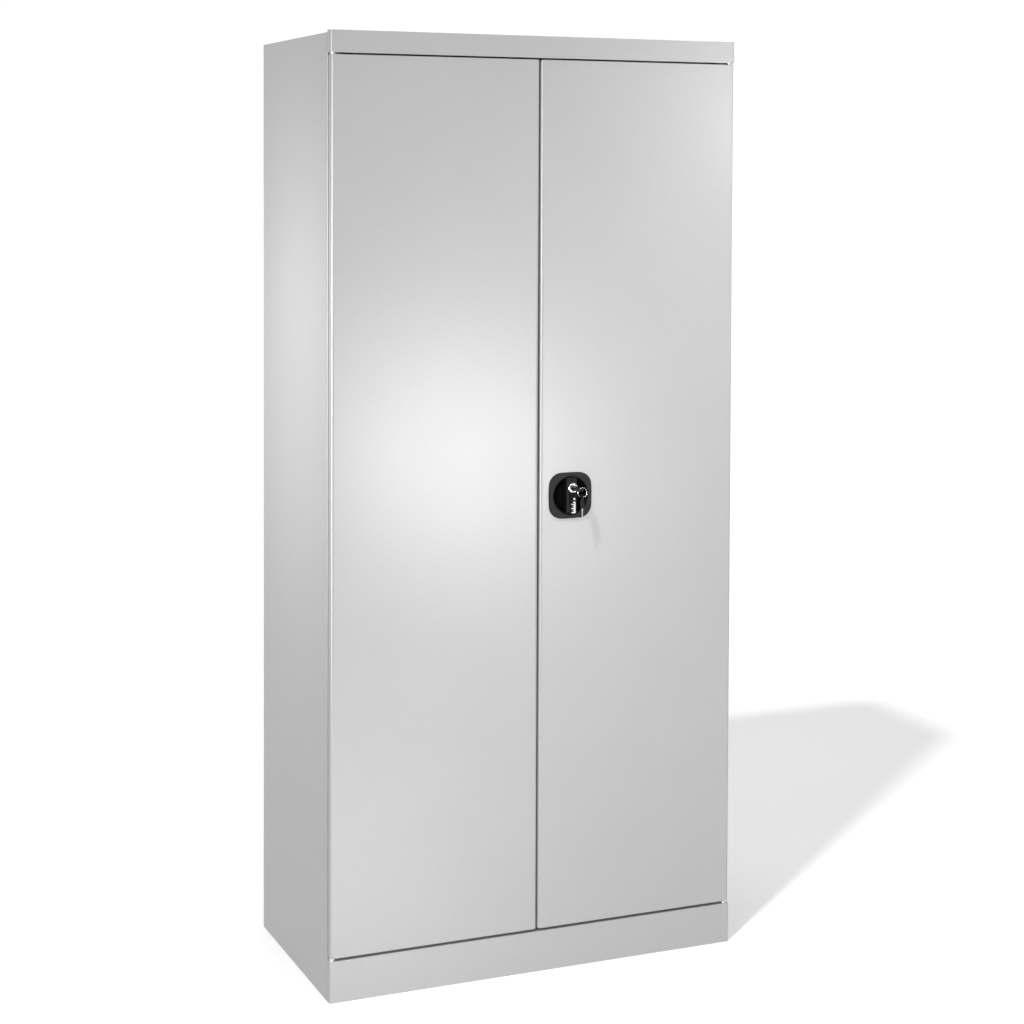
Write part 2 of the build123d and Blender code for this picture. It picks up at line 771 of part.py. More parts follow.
def lock_cover():
    outer = rod_centre + rod_width / 2 + rod_play + case_wall
    span = (-outer, outer)
    plate = block(span, (-case_half_height, case_half_height), (-cover_face - case_cover, -cover_face))
    plate = fillet(plate.edges().filter_by(Axis.Z), case_round)
    for x, y in screw_places():
        plate -= disc(screw_radius, -cover_face - case_cover, -cover_face, x, y)
    return plate - disc(pinion_hub_radius + turn_play, -cover_face - case_cover, -cover_face)


def lock_screws():
    back = -cover_face - case_cover
    screws = []
    for x, y in screw_places():
        shank = disc(screw_radius, back, -case_back - case_plate, x, y)
        head = disc(screw_head_radius, back - screw_head_height, back, x, y)
        screws.append(shank + head)
    plate = -case_back - case_plate
    for y in (-bezel_post_place, bezel_post_place):
        screws.append(disc(screw_radius, plate, -case_back, 0, y)
                      + disc(screw_head_radius, plate - screw_head_height, plate, 0, y))
    return screws


def latch_lever():
    """A cranked lever: down at rest, and behind the left door's lip when the handle is turned."""
    half = lever_width / 2
    bend = -lever_reach + lever_steel
    arm = block((-half, half), (-lever_reach, 0), (-lever_back, -lever_face))
    arm += disc(lever_hub_radius, -lever_back, -lever_face)
    foot_face = -door_thickness - turn_gap
    wall = block((-half, half), (-lever_reach, bend), (-lever_back, foot_face))
    foot = block((-half, half), (-lever_reach - lever_foot, bend), (foot_face - lever_steel, foot_face))
    foot = fillet(foot.edges().filter_by(Axis.Z).group_by(Axis.Y)[0], post_bend)
    return arm + wall + foot - square_bore(-lever_back, -lever_face)


def spindle_screw():
    return (disc(washer_radius, -lever_back - washer_height, -lever_back)
            + disc(screw_head_radius, -lever_back - washer_height - screw_head_height, -lever_back))


def rod_guide(side_turn, middle):
    """A moulded guide welded to the door's skin round one rod."""
    x = side_turn * rod_centre
    half = guide_width / 2
    body = block((x - half, x + half), (middle - guide_height / 2, middle + guide_height / 2),
                 (-rod_mid_depth - rod_thickness / 2 - guide_rear, -sheet))
    return body - rod_space(side_turn, middle - guide_height, middle + guide_height, rod_play)


upper_reach = door_top - rod_setback - lock_z
lower_reach = lock_z - door_bottom - rod_setback


def rod_guides():
    guides = []
    for side_turn, reach in ((-1, upper_reach), (1, lower_reach)):
        for place in [reach - guide_end_gap] + [share * reach for share in guide_mid_shares]:
            guides.append(rod_guide(side_turn, -side_turn * place))
    return guides


# Levelling feet on brackets inside the base, rubber buffers and rivets
def foot_places():
    return [(side - foot_inset, front + foot_front), (side - foot_inset, rear - foot_rear)]


def foot_bracket(x, y):
    y_span = (y - bracket_width / 2, y + bracket_width / 2)
    plate_x = (side - bracket_reach, side - sheet)
    plate = block(plate_x, y_span, (bracket_level, bracket_level + bracket_steel))
    plate += block((side - sheet - bracket_steel, side - sheet), y_span,
                   (bracket_level - bracket_drop, bracket_level + bracket_steel))
    return plate - disc(foot_stem_radius, bracket_level, bracket_level + bracket_steel, x, y)


def levelling_foot(x, y):
    pad = chamfer(disc(foot_radius, 0, foot_height, x, y).edges().group_by(Axis.Z)[-1], small_bend)
    stem = disc(foot_stem_radius, foot_height, foot_stem_height, x, y)
    above = bracket_level + bracket_steel
    nut = Pos(x, y, bracket_level - foot_nut_height) * extrude(
        RegularPolygon(foot_nut_width / 2, 6, major_radius=False), foot_nut_height)
    lock_nut = Pos(x, y, above) * extrude(
        RegularPolygon(foot_nut_width / 2, 6, major_radius=False), foot_nut_height / 2)
    return pad + stem + nut + lock_nut


def door_buffers():
    thickness = carcass_front - door_back - bush_play
    x = side - buffer_post_inset
    heights = (door_bottom + buffer_end_gap, (door_bottom + door_top) / 2, door_top - buffer_end_gap)
    lying = Rot(90, 0, 0) * Cylinder(buffer_radius, thickness)
    return both_sides([Pos(x, carcass_front - thickness / 2, z) * lying for z in heights])


def back_rivets():
    lowest = plinth_height + rivet_end_gap
    step = (carcass_top - rivet_end_gap - lowest) / (rivet_rows - 1)
    lying = Rot(90, 0, 0) * Cylinder(rivet_radius, rivet_height)
    x = side - rivet_inset
    return both_sides([Pos(x, rear + rivet_height / 2, lowest + n * step) * lying for n in range(rivet_rows)])


# The carcass
right_panel = side_panel()
save("right_side_panel", right_panel)
save("left_side_panel", mirrored(right_panel))
save("back_panel", back_panel())
save("top_panel", flanged_pan(carcass_top, pan_flange))
save("base_panel", flanged_pan(plinth_height, base_flange))
save("header", header())
save("plinth", plinth())
save("rear_base_rail", rear_base_rail())
for place, y in upright_places.items():
    right_upright = upright(y)
    save(f"right_{place}_upright", right_upright)
    save(f"left_{place}_upright", mirrored(right_upright))
for number, top in enumerate(shelf_tops, start=1):
    save(f"shelf_{number}", shelf(top))
save("shelf_clips", *both_sides([
    shelf_clip(y + upright_width / 2, top - shelf_height)
    for y in upright_places.values() for top in shelf_tops]))
save("foot_brackets", *both_sides([foot_bracket(x, y) for x, y in foot_places()]))
save("levelling_feet", *both_sides([levelling_foot(x, y) for x, y in foot_places()]))
save("door_buffers", *door_buffers())
save("back_rivets", *back_rivets())

# The doors and their pivots
right_pins = {"upper": upper_pin(), "lower": lower_pin()}
for level, pin in right_pins.items():
    save(f"right_{level}_pivot_pin", pin)
    save(f"left_{level}_pivot_pin", mirrored(pin))
right_bushes = [bush(door_top, -1), bush(door_bottom, 1)]
save("right_door_bushes", *right_bushes)
save("left_door_bushes", *[mirrored(b) for b in right_bushes])
plain_door = door_panel()
save("left_door_panel", mirrored(plain_door))
save("right_door_panel", plain_door - on_door(lock_holes()))
save("right_door_stiffener", stiffener())
save("left_door_stiffener", mirrored(stiffener()))

# The lock on the right door
save("lock_bezel", on_door(lock_bezel()))
save("lock_case", on_door(lock_case()))
save("lock_cover", on_door(lock_cover()))
save("lock_screws", *[on_door(s) for s in lock_screws()])
save("rod_guides", *[on_door(g) for g in rod_guides()])
save("upper_lock_rod", on_door(rack_rod(upper_reach)))
save("lower_lock_rod", on_door(Rot(0, 0, 180) * rack_rod(lower_reach)))

# The handle, its cylinder and the keys
save("turn_handle", on_door(turn_handle()))
save("handle_spindle", on_door(handle_spindle()))
save("drive_pinion", on_door(drive_pinion()))
save("latch_lever", on_door(latch_lever()))
save("spindle_screw", on_door(spindle_screw()))
save("cylinder_barrel", on_door(cylinder_barrel()))
save("cylinder_collar", on_door(cylinder_collar()))
save("cylinder_plug", on_door(cylinder_plug()))
save("key_blade", on_door(key_seat * key_blade()))
save("key_head", on_door(key_seat * key_head()))
save("key_ring", on_door(key_ring()))
save("spare_key_blade", on_door(spare_key(key_blade())))
save("spare_key_head", on_door(spare_key(key_head())))
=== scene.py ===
from math import cos, pi, radians, sin, sqrt

import bmesh
import bpy
from mathutils import Matrix, Vector


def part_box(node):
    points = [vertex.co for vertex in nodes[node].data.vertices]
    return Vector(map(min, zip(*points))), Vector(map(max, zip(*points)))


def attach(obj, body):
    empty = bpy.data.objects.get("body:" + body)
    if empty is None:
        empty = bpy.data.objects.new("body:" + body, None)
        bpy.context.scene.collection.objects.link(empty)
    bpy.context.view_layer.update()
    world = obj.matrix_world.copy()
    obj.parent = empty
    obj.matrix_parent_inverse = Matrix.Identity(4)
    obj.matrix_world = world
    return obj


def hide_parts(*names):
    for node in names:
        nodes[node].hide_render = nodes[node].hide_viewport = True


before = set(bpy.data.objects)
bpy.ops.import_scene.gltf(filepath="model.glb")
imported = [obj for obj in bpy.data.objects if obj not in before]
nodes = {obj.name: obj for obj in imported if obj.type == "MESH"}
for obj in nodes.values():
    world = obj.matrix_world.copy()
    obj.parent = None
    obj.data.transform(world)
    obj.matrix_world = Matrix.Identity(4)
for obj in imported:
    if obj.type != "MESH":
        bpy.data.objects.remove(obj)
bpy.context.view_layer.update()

# Side panels
# Each side is one sheet of 1 mm steel, folded into a hollow post at the front and a flange at
# the back. All the cupboard's sheet is powder coated in light grey, with a fine pebbled skin.


class Field:
    """A number that changes over a surface. Arithmetic on it adds Math nodes."""

    def __init__(self, shading, socket):
        self.shading = shading
        self.socket = socket

    def math(self, operation, first, second):
        return self.shading.node("Math", {"operation": operation}, {0: first, 1: second})

    def __add__(self, other):
        return self.math("ADD", self, other)

    def __sub__(self, other):
        return self.math("SUBTRACT", self, other)

    def __mul__(self, other):
        return self.math("MULTIPLY", self, other)

    def __rsub__(self, other):
        return self.math("SUBTRACT", other, self)

    __radd__ = __add__
    __rmul__ = __mul__


class Shading:
    """A tree of shading nodes."""

    def __init__(self, tree):
        self.tree = tree

    def feed(self, node, sockets):
        for key, value in sockets.items():
            if isinstance(value, Field):
                self.tree.links.new(value.socket, node.inputs[key])
            else:
                node.inputs[key].default_value = value

    def node(self, kind, settings=None, sockets=None, out=0):
        """Adds a node of that kind: settings first, then what its sockets hold."""
        node = self.tree.nodes.new("ShaderNode" + kind)
        for key, value in (settings or {}).items():
            if key == "stops":
                for mark, (place, level) in zip(node.color_ramp.elements, value):
                    mark.position = place
                    mark.color = (level, level, level, 1)
            else:
                setattr(node, key, value)
        self.feed(node, sockets or {})
        return Field(self, node.outputs[out])

    def ramp(self, field, low, high):
        """0 below low and 1 above high."""
        return self.node("ValToRGB", {"stops": ((low, 0), (high, 1))}, {"Fac": field})


class Finish(Shading):
    """A surface finish: one shader that holds its constants, fed by fields that vary."""

    edge_samples = 4
    edge_sharpness = 6.0

    def __init__(self, name, **constants):
        self.material = bpy.data.materials.new(name)
        self.material.use_nodes = True
        super().__init__(self.material.node_tree)
        self.tree.nodes.clear()
        self.shader = self.tree.nodes.new("ShaderNodeBsdfPrincipled")
        output = self.tree.nodes.new("ShaderNodeOutputMaterial")
        self.tree.links.new(self.shader.outputs[0], output.inputs[0])
        self.feed(self.shader, {key.replace("_", " "): value for key, value in constants.items()})
        self.place = self.node("TexCoord", out="Object")

    def noise(self, size, detail=2.0, stretch=None):
        """Noise from 0 to 1 whose lumps measure about that size, in metres."""
        place = self.place
        if stretch:
            place = self.node("Mapping", sockets={"Vector": place, "Scale": stretch})
        return self.node("TexNoise", sockets={"Vector": place, "Scale": 1 / size, "Detail": detail})

    def edges(self, reach):
        """1 on an outer or inner edge of that reach and 0 on the flat."""
        rounded = self.node("Bevel", {"samples": self.edge_samples}, {"Radius": reach})
        facing = self.node("NewGeometry", out="Normal")
        alike = self.node(
            "VectorMath", {"operation": "DOT_PRODUCT"}, {0: rounded, 1: facing}, "Value")
        return self.node(
            "Math", {"operation": "MULTIPLY", "use_clamp": True},
            {0: 1 - alike, 1: self.edge_sharpness})

    def mix(self, share, first, second):
        """first where share is 0 and second where it is 1, for colours."""
        return self.node("Mix", {"data_type": "RGBA"}, {0: share, 6: first, 7: second}, 2)

    def paint(self, colour=None, roughness=None, height=None):
        """Feeds what varies: colour, roughness and a bump of that height in metres."""
        if colour:
            self.feed(self.shader, {"Base Color": colour})
        if roughness:
            self.feed(self.shader, {"Roughness": roughness})
        if height:
            bump = self.node("Bump", sockets={"Height": height, "Distance": 1.0, "Strength": 1.0})
            self.feed(self.shader, {"Normal": bump})


green_share = 1.004           # every grey is a touch cooler than neutral
blue_share = 1.008


def grey(level):
    return (level, level * green_share, level * blue_share, 1)


def powder_coat(name, level):
    """Sprayed coat: pebbles and grains in its skin, faint clouds, and paler on the edges."""
    pebble_size = 0.0016
    pebble_height = 0.000006
    grain_size = 0.0052
    grain_height = 0.000009
    cloud_size = 0.16
    cloud_height = 0.00004
    edge_reach = 0.0012
    grain_share = 0.72
    cloud_share = 0.28
    dull_below = 0.36
    bright_above = 0.66
    dull_tone = 0.975
    bright_tone = 1.02
    edge_tone = 1.12
    edge_share = 0.5
    base_roughness = 0.25
    grain_roughness = 0.10
    cloud_roughness = 0.04
    edge_polish = 0.05

    coat = Finish(name, Specular_IOR_Level=0.5, IOR=1.5)
    pebbles = coat.noise(pebble_size)
    grains = coat.noise(grain_size, detail=3)
    clouds = coat.noise(cloud_size)
    worn = coat.edges(edge_reach)
    mottle = coat.ramp(grains * grain_share + clouds * cloud_share, dull_below, bright_above)
    skin = coat.mix(mottle, grey(level * dull_tone), grey(level * bright_tone))
    matt = base_roughness + grains * grain_roughness + clouds * cloud_roughness
    coat.paint(
        colour=coat.mix(worn * edge_share, skin, grey(level * edge_tone)),
        roughness=matt - worn * edge_polish,
        height=pebbles * pebble_height + grains * grain_height + clouds * cloud_height)
    return coat


def finish_nodes(finish, *names):
    """Gives CAD pieces that keep their own mesh a finish."""
    for name in names:
        nodes[name].material_slots[0].material = finish.material


def add_piece(name, shape, body, finish, slot, *replaced):
    """Makes a piece of a bmesh, smooth apart from its sharp edges, and puts it on its body."""
    mesh = bpy.data.meshes.new(name)
    shape.to_mesh(mesh)
    shape.free()
    mesh.polygons.foreach_set("use_smooth", [True] * len(mesh.polygons))
    mesh.set_sharp_from_angle(angle=sharp_angle)
    mesh.materials.append(finish.material)
    piece = bpy.data.objects.new(name, mesh)
    bpy.context.scene.collection.objects.link(piece)
    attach(piece, body)
    if replaced:
        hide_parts(*replaced)
    return piece


def soften(name, node, body, finish, slot, width, segments=2):
    """Makes a piece that stands for a node, with its sharp edges rounded to that width."""
    shape = bmesh.new()
    shape.from_mesh(nodes[node].data)
    bmesh.ops.remove_doubles(shape, verts=shape.verts, dist=weld)
    bmesh.ops.dissolve_limit(shape, angle_limit=flat_angle, verts=shape.verts, edges=shape.edges)
    piece = add_piece(name, shape, body, finish, slot, node)
    bevel = piece.modifiers.new("rounded edges", "BEVEL")
    bevel.width = width
    bevel.segments = segments
    bevel.limit_method = "ANGLE"
    bevel.angle_limit = sharp_angle
    level = piece.modifiers.new("flat faces stay flat", "WEIGHTED_NORMAL")
    level.keep_sharp = True


def folded_sheet(name, node, body="carcass"):
    """A piece of coated sheet, its cut edges barely rounded."""
    soften(name, node, body, sheet_coat, "grey_powder_coat", cut_edge)


sharp_angle = radians(32)
flat_angle = radians(0.4)
weld = 0.000002
cut_edge = 0.0003
coat_level = 0.40

sheet_coat = powder_coat("light grey powder coat", coat_level)
for hand in ("left", "right"):
    folded_sheet(hand + "_side", hand + "_side_panel")

# Back panel and rivets
# A flat sheet with two pressed swages that stiffen it, riveted to the side panels' flanges
# with zinc plated steel rivets.


def plated_steel(name, level, base_roughness):
    """Bright plating: fine crystals, the dulling of hands, and faint upright scratches."""
    crystal_size = 0.003
    crystal_height = 0.000008
    handling_size = 0.03
    scratch_size = 0.004
    scratch_stretch = (1, 1, 0.06)
    scratch_height = 0.000012
    edge_reach = 0.0008
    crystal_share = 0.6
    handling_share = 0.4
    dull_below = 0.38
    bright_above = 0.62
    dull_tone = 0.86
    bright_tone = 1.06
    edge_tone = 1.15
    edge_share = 0.6
    crystal_roughness = 0.1
    scratch_roughness = 0.08

    plate = Finish(name, Metallic=1.0)
    crystals = plate.noise(crystal_size, detail=3)
    handling = plate.noise(handling_size)
    scratches = plate.noise(scratch_size, stretch=scratch_stretch)
    worn = plate.edges(edge_reach)
    bloom = plate.ramp(
        crystals * crystal_share + handling * handling_share, dull_below, bright_above)
    tone = plate.mix(bloom, grey(level * dull_tone), grey(level * bright_tone))
    plate.paint(
        colour=plate.mix(worn * edge_share, tone, grey(level * edge_tone)),
        roughness=base_roughness + crystals * crystal_roughness + scratches * scratch_roughness,
        height=scratches * scratch_height + crystals * crystal_height)
    return plate


zinc = plated_steel("zinc plated steel", level=0.62, base_roughness=0.24)
folded_sheet("back", "back_panel")
finish_nodes(zinc, "back_rivets")

# Top, base and rear base rail
# Two folded pans close the carcass above and below, and a folded rail carries the base at
# the back. They are spot welded between the sides before the coat goes on.
folded_sheet("top_pan", "top_panel")
folded_sheet("base_pan", "base_panel")
folded_sheet("rear_rail", "rear_base_rail")

# Header and plinth
# Hollow rails folded from the same sheet, with bends of 7 mm radius at both ends. They stand
# level with the doors' faces and are spot welded to the carcass behind them.
folded_sheet("header_rail", "header")
folded_sheet("plinth_rail", "plinth")

# Levelling feet
# Four screw feet with hexagon nuts, carried by folded brackets inside the base. Feet and
# brackets are bright zinc plated steel.
finish_nodes(zinc, "foot_brackets", "levelling_feet")

# Shelf uprights, shelves and clips
# Folded uprights with a ladder of slots stand in the four corners. Sprung steel clips hook
# into them, and the folded shelves lie on the clips.
shelf_count = 4

for corner in ("left_front", "right_front", "left_rear", "right_rear"):
    finish_nodes(sheet_coat, corner + "_upright")
for number in range(1, shelf_count + 1):
    folded_sheet(f"shelf_board_{number}", f"shelf_{number}")
finish_nodes(zinc, "shelf_clips")

# Door pivots
# Shouldered zinc plated pins in the header's and plinth's corners turn in nylon bushes that
# are pressed into the doors' folded ends.


def moulded(name, colour, base_roughness, grain_size, grain_height, edge_polish=0.0, shine=0.5,
            shade_behind=None):
    """A moulded plastic. Behind shade_behind, in metres along Y, painted shade darkens it and it is
    more matt.
    """
    flow_size = 0.02
    flow_share = 0.2
    edge_reach = 0.0009
    edge_share = 0.55
    pale_factor = 1.25
    pale_rise = 0.006
    grain_roughness = 0.12
    flow_roughness = 0.06
    shade_blend = 0.003
    shade_factor = 0.08
    dark_roughness = 0.4

    plastic = Finish(name, Specular_IOR_Level=shine)
    grain = plastic.noise(grain_size)
    flow = plastic.noise(flow_size)
    worn = plastic.edges(edge_reach)
    parts = colour[:3]
    pale = tuple(min(1.0, part * pale_factor + pale_rise) for part in parts) + (1,)
    tone = plastic.mix(worn * edge_share + flow * flow_share, colour, pale)
    matt = base_roughness + grain * grain_roughness + flow * flow_roughness
    roughness = matt - worn * edge_polish
    # Painted shade: the part sunk behind shade_behind is darkened as if shaded in a recess, and it
    # is also made more matt.
    if shade_behind is not None:
        depth = plastic.node("SeparateXYZ", sockets={0: plastic.place}, out="Y")
        painted_recess_shade = plastic.ramp((depth - shade_behind) * (1 / shade_blend), 0.0, 1.0)
        tone = plastic.mix(painted_recess_shade, tone, tuple(part * shade_factor for part in parts) + (1,))
        roughness = roughness + painted_recess_shade * dark_roughness
    plastic.paint(colour=tone, roughness=roughness, height=grain * grain_height)
    return plastic


nylon = moulded(
    "natural nylon", (0.80, 0.79, 0.74, 1), base_roughness=0.34, grain_size=0.0008,
    grain_height=0.000008)
for hand in ("left", "right"):
    finish_nodes(nylon, hand + "_door_bushes")
    finish_nodes(zinc, hand + "_upper_pivot_pin", hand + "_lower_pivot_pin")

# Door buffers
# Six round pads of soft black rubber, glued to the front posts. They quieten the doors as
# they close.
rubber = moulded(
    "black rubber", (0.022, 0.022, 0.023, 1), base_roughness=0.62, grain_size=0.0006,
    grain_height=0.00002)
finish_nodes(rubber, "door_buffers")

# Doors
# Each door is one folded pan with a bend of 7 mm radius along both sides, and a hat section
# spot welded inside it from top to bottom.
leaf_segments = 3

door_coat = powder_coat("light grey powder coat of the doors", coat_level)
for hand in ("left", "right"):
    door = hand + "_door"
    soften(door + "_leaf", door + "_panel", door, door_coat, "grey_powder_coat", cut_edge,
           leaf_segments)
    folded_sheet(door + "_hat", door + "_stiffener", door)

# Lock bezel
# A black satin moulding that frames the lock on the right door: a square with swollen sides,
# and a stepped dish that gives fingers room around the handle's bar. Two studs reach into
# the door behind it.
lock_height = 0.996
lock_across = 0.070
door_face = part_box("right_door_panel")[0].y
mm = 0.001


def on_lock(x, y, out):
    """From the lock's own millimetres, right, up and outwards, to metres in the frame."""
    return Vector((lock_across + x * mm, door_face - out * mm, lock_height + y * mm))


def ring_angles(steps):
    return [2 * pi * k / steps for k in range(steps)]


def round_ring(radius, level, steps, up=0.0):
    """A circle of points at that level, about a place that far above the lock's middle."""
    return [on_lock(radius * cos(t), up + radius * sin(t), level) for t in ring_angles(steps)]


def loft(rings, closed_ends=(False, False), shape=None):
    """Joins rings of points, each as long as the next, into one skin."""
    shape = shape or bmesh.new()
    rows = [[shape.verts.new(point) for point in ring] for ring in rings]
    for here, there in zip(rows, rows[1:]):
        for k in range(len(here)):
            m = (k + 1) % len(here)
            shape.faces.new((here[k], here[m], there[m], there[k]))
    for closed, row in zip(closed_ends, (rows[0], rows[-1])):
        if closed:
            shape.faces.new(row)
    bmesh.ops.recalc_face_normals(shape, faces=shape.faces)
    return shape


def circle_reach(turn, x, y, radius):
    """How far out from the middle a circle's outer side lies at that angle."""
    along = x * cos(turn) + y * sin(turn)
    across = x * sin(turn) - y * cos(turn)
    return along + sqrt(radius ** 2 - across ** 2)


def swollen_square(turn):
    """How far out the bezel's edge lies: bowed sides between round corners."""
    folded = abs((turn + pi / 4) % (pi / 2) - pi / 4)
    if folded < corner_starts:
        return circle_reach(folded, bezel_half - side_radius, 0, side_radius)
    return circle_reach(folded, corner_place, corner_place, corner_radius)


bezel_half = 48.0
side_radius = 415.3
corner_radius = 27.0
corner_place = 20.46
corner_starts = radians(24.8)
bezel_rise = 5.5
bezel_rim = 2.2
rim_steps = 6
bezel_steps = 192
dish = [                      # radius and level, from the rim down to the floor, bore and back
    (41.4, 5.5), (40.9, 5.42), (40.5, 5.1), (40.3, 4.6), (38.4, 1.2), (38.1, 0.8), (37.6, 0.55),
    (35.3, -1.3), (34.9, -1.7), (34.6, -2.2), (32.4, -5.7), (32.1, -6.2), (31.5, -6.5),
    (8.3, -6.5), (8.1, -6.7), (8.1, -8.5), (32.0, -8.5)]
bowl_top = 38.4               # the dish's outer radius, level with the door's face
stud_place = 42.4
stud_radius = 3.5
stud_end = -8.5
stud_chamfer = 0.4
stud_steps = 24
bezel_shade_depth = 0.004            # painted shade darkens the dish from this far in front of the door's face

edge_rings = [(0.0, 0.0), (0.0, bezel_rise - bezel_rim)]
for k in range(1, rim_steps + 1):
    turn = pi / 2 * k / rim_steps
    edge_rings.append((bezel_rim * (1 - cos(turn)), bezel_rise - bezel_rim * (1 - sin(turn))))
angles = ring_angles(bezel_steps)
bezel_rings = []
for inset, level in edge_rings:
    reach = [swollen_square(turn) - inset for turn in angles]
    bezel_rings.append([on_lock(r * cos(t), r * sin(t), level) for r, t in zip(reach, angles)])
for radius, level in dish + [(bowl_top, 0.0)]:
    bezel_rings.append(round_ring(radius, level, bezel_steps))
bezel_rings.append(bezel_rings[0])
bezel_shape = loft(bezel_rings)
stud_profile = [
    (stud_radius, 0.0), (stud_radius, stud_end + stud_chamfer),
    (stud_radius - stud_chamfer, stud_end)]
for stud_up in (-stud_place, stud_place):
    stud = [round_ring(radius, level, stud_steps, stud_up) for radius, level in stud_profile]
    loft(stud, (True, True), bezel_shape)
bmesh.ops.remove_doubles(bezel_shape, verts=bezel_shape.verts, dist=weld)

lock_black = moulded(
    "black satin moulding", (0.027, 0.027, 0.028, 1), base_roughness=0.45, grain_size=0.0005,
    grain_height=0.000012, edge_polish=0.1, shine=0.06, shade_behind=door_face - bezel_shade_depth)
add_piece("bezel", bezel_shape, "right_door", lock_black, "black_lock_plastic", "lock_bezel")

# Rod lock
# Behind the bezel a screwed case holds the racks. Flat rods of plated steel run from it to
# the header and the plinth through nylon guides.
finish_nodes(zinc, "lock_case", "lock_cover", "lock_screws", "upper_lock_rod", "lower_lock_rod")
finish_nodes(nylon, "rod_guides")

# Handle
# A moulded bar across a disc that turns in the dish, on a square steel spindle with the
# pinion and the latch lever behind it.
moulding_edge = 0.0004
moulding_segments = 3
bar_shade_depth = 0.008              # painted shade darkens the bar's foot from this far in front of the door's face

grip_black = moulded(
    "black moulding of the handle", (0.016, 0.016, 0.017, 1), base_roughness=0.40,
    grain_size=0.0006, grain_height=0.000010, edge_polish=0.1, shine=0.06,
    shade_behind=door_face - bar_shade_depth)
soften("handle_bar", "turn_handle", "handle", grip_black, "black_lock_plastic", moulding_edge,
       moulding_segments)
sintered = plated_steel("oiled sintered steel", level=0.30, base_roughness=0.34)
finish_nodes(sintered, "drive_pinion")
finish_nodes(zinc, "handle_spindle", "latch_lever", "spindle_screw")

# Index marks
# Plain white marks printed on the bar's lower half, a dot over a short scale, which show how
# the handle stands.
bar_face = 13.0
ink_rise = 0.06
dot_radius = 2.6
dot_across = 4.3
dot_place = -6.3
dot_steps = 24
scale_top = -12.0
scale_step = 4.3
scale_marks = 6
mark_height = 2.4
mark_right = 6.9
mark_lefts = (-2.2, 1.4)      # a long mark and a short one by turns
spine_left = 4.6
scale_foot = scale_top - scale_step * (scale_marks - 1) - mark_height


def ink_patch(outline_points):
    """A printed patch a few hundredths of a millimetre thick on the bar's face."""
    low = [marks.verts.new(on_lock(x, y, bar_face - ink_rise)) for x, y in outline_points]
    high = [marks.verts.new(on_lock(x, y, bar_face + ink_rise)) for x, y in outline_points]
    count = len(low)
    marks.faces.new(high)
    marks.faces.new(low[::-1])
    for k in range(count):
        m = (k + 1) % count
        marks.faces.new((low[k], low[m], high[m], high[k]))


def ink_bar(left, foot, right, top):
    ink_patch([(left, foot), (right, foot), (right, top), (left, top)])


marks = bmesh.new()
ink_patch([(dot_across + dot_radius * cos(t), dot_place + dot_radius * sin(t))
           for t in ring_angles(dot_steps)])
ink_bar(spine_left, scale_foot, mark_right, scale_top)
for k in range(scale_marks):
    mark_top = scale_top - scale_step * k
    ink_bar(mark_lefts[(k + 1) % 2], mark_top - mark_height, spine_left, mark_top)
bmesh.ops.recalc_face_normals(marks, faces=marks.faces)
ink = moulded(
    "white print", (0.95, 0.95, 0.94, 1), base_roughness=0.5, grain_size=0.0004,
    grain_height=0.000004)
add_piece("index_marks", marks, "handle", ink, "black_lock_plastic")

# Cylinder
# A nickel plated barrel with a turned chrome collar stands in the bar's upper half, and its
# plug takes the key.
barrel_place = 17.4
collar_steps = 96
collar_profile = [            # radius and level, from the bore out over the rolled lip and back
    (8.05, 13.0), (10.15, 13.0), (10.3, 13.15), (10.3, 15.9), (10.22, 16.5), (10.0, 17.1),
    (9.6, 17.55), (9.1, 17.85), (8.75, 17.95), (8.5, 17.9), (8.3, 17.6), (8.22, 17.2),
    (8.05, 17.0), (8.05, 13.0)]

collar_shape = loft(
    [round_ring(radius, level, collar_steps, barrel_place) for radius, level in collar_profile])
bmesh.ops.remove_doubles(collar_shape, verts=collar_shape.verts, dist=weld)
chrome = plated_steel("polished chrome", level=0.80, base_roughness=0.05)
add_piece("collar", collar_shape, "handle", chrome, "chrome", "cylinder_collar")
nickel = plated_steel("nickel plated brass", level=0.50, base_roughness=0.3)
finish_nodes(nickel, "cylinder_barrel", "cylinder_plug")

# Keys
# Two alike keys of cut nickel plated brass with moulded black heads: one in the cylinder,
# the other hung from the ring.
key_black = moulded(
    "black key head", (0.016, 0.016, 0.017, 1), base_roughness=0.36, grain_size=0.0007,
    grain_height=0.000006, edge_polish=0.08, shine=0.1)
for key in ("key", "spare_key"):
    soften(key + "_bow", key + "_head", key, key_black, "key_head_plastic", moulding_edge,
           moulding_segments)
    finish_nodes(nickel, key + "_blade")

# Key ring
# A split ring of two turns of bright spring wire. It passes through the slot in the head of
# the key that stands in the cylinder and carries the spare key.
wire_radius = 0.00042
ring_shrink = 0.0006          # the split ring is this much smaller than the drawing's
wire_turns = 2
ring_steps = 72
wire_start = radians(215)

low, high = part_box("key_ring")
ring_centre = (low + high) / 2
ring_reach = (high.x - low.x) / 2 - wire_radius - ring_shrink
ring_lift = (high.y - low.y) / 2 - wire_radius
ring_line = bpy.data.curves.new("split_ring", "CURVE")
ring_line.dimensions = "3D"
ring_line.bevel_depth = wire_radius
ring_line.bevel_resolution = 5
ring_line.use_fill_caps = True
wire = ring_line.splines.new("POLY")
wire_steps = wire_turns * ring_steps
wire.points.add(wire_steps)
for k, point in enumerate(wire.points):
    turn = wire_start + 2 * pi * k / ring_steps
    rise = ring_lift * (2 * k / wire_steps - 1)
    point.co = (ring_centre.x + ring_reach * cos(turn), ring_centre.y + rise,
                ring_centre.z + ring_reach * sin(turn), 1)
bright_wire = plated_steel("bright spring wire", level=0.74, base_roughness=0.12)
ring_line.materials.append(bright_wire.material)
split_ring = bpy.data.objects.new("split_ring", ring_line)
bpy.context.scene.collection.objects.link(split_ring)
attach(split_ring, "ring")
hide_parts("key_ring")

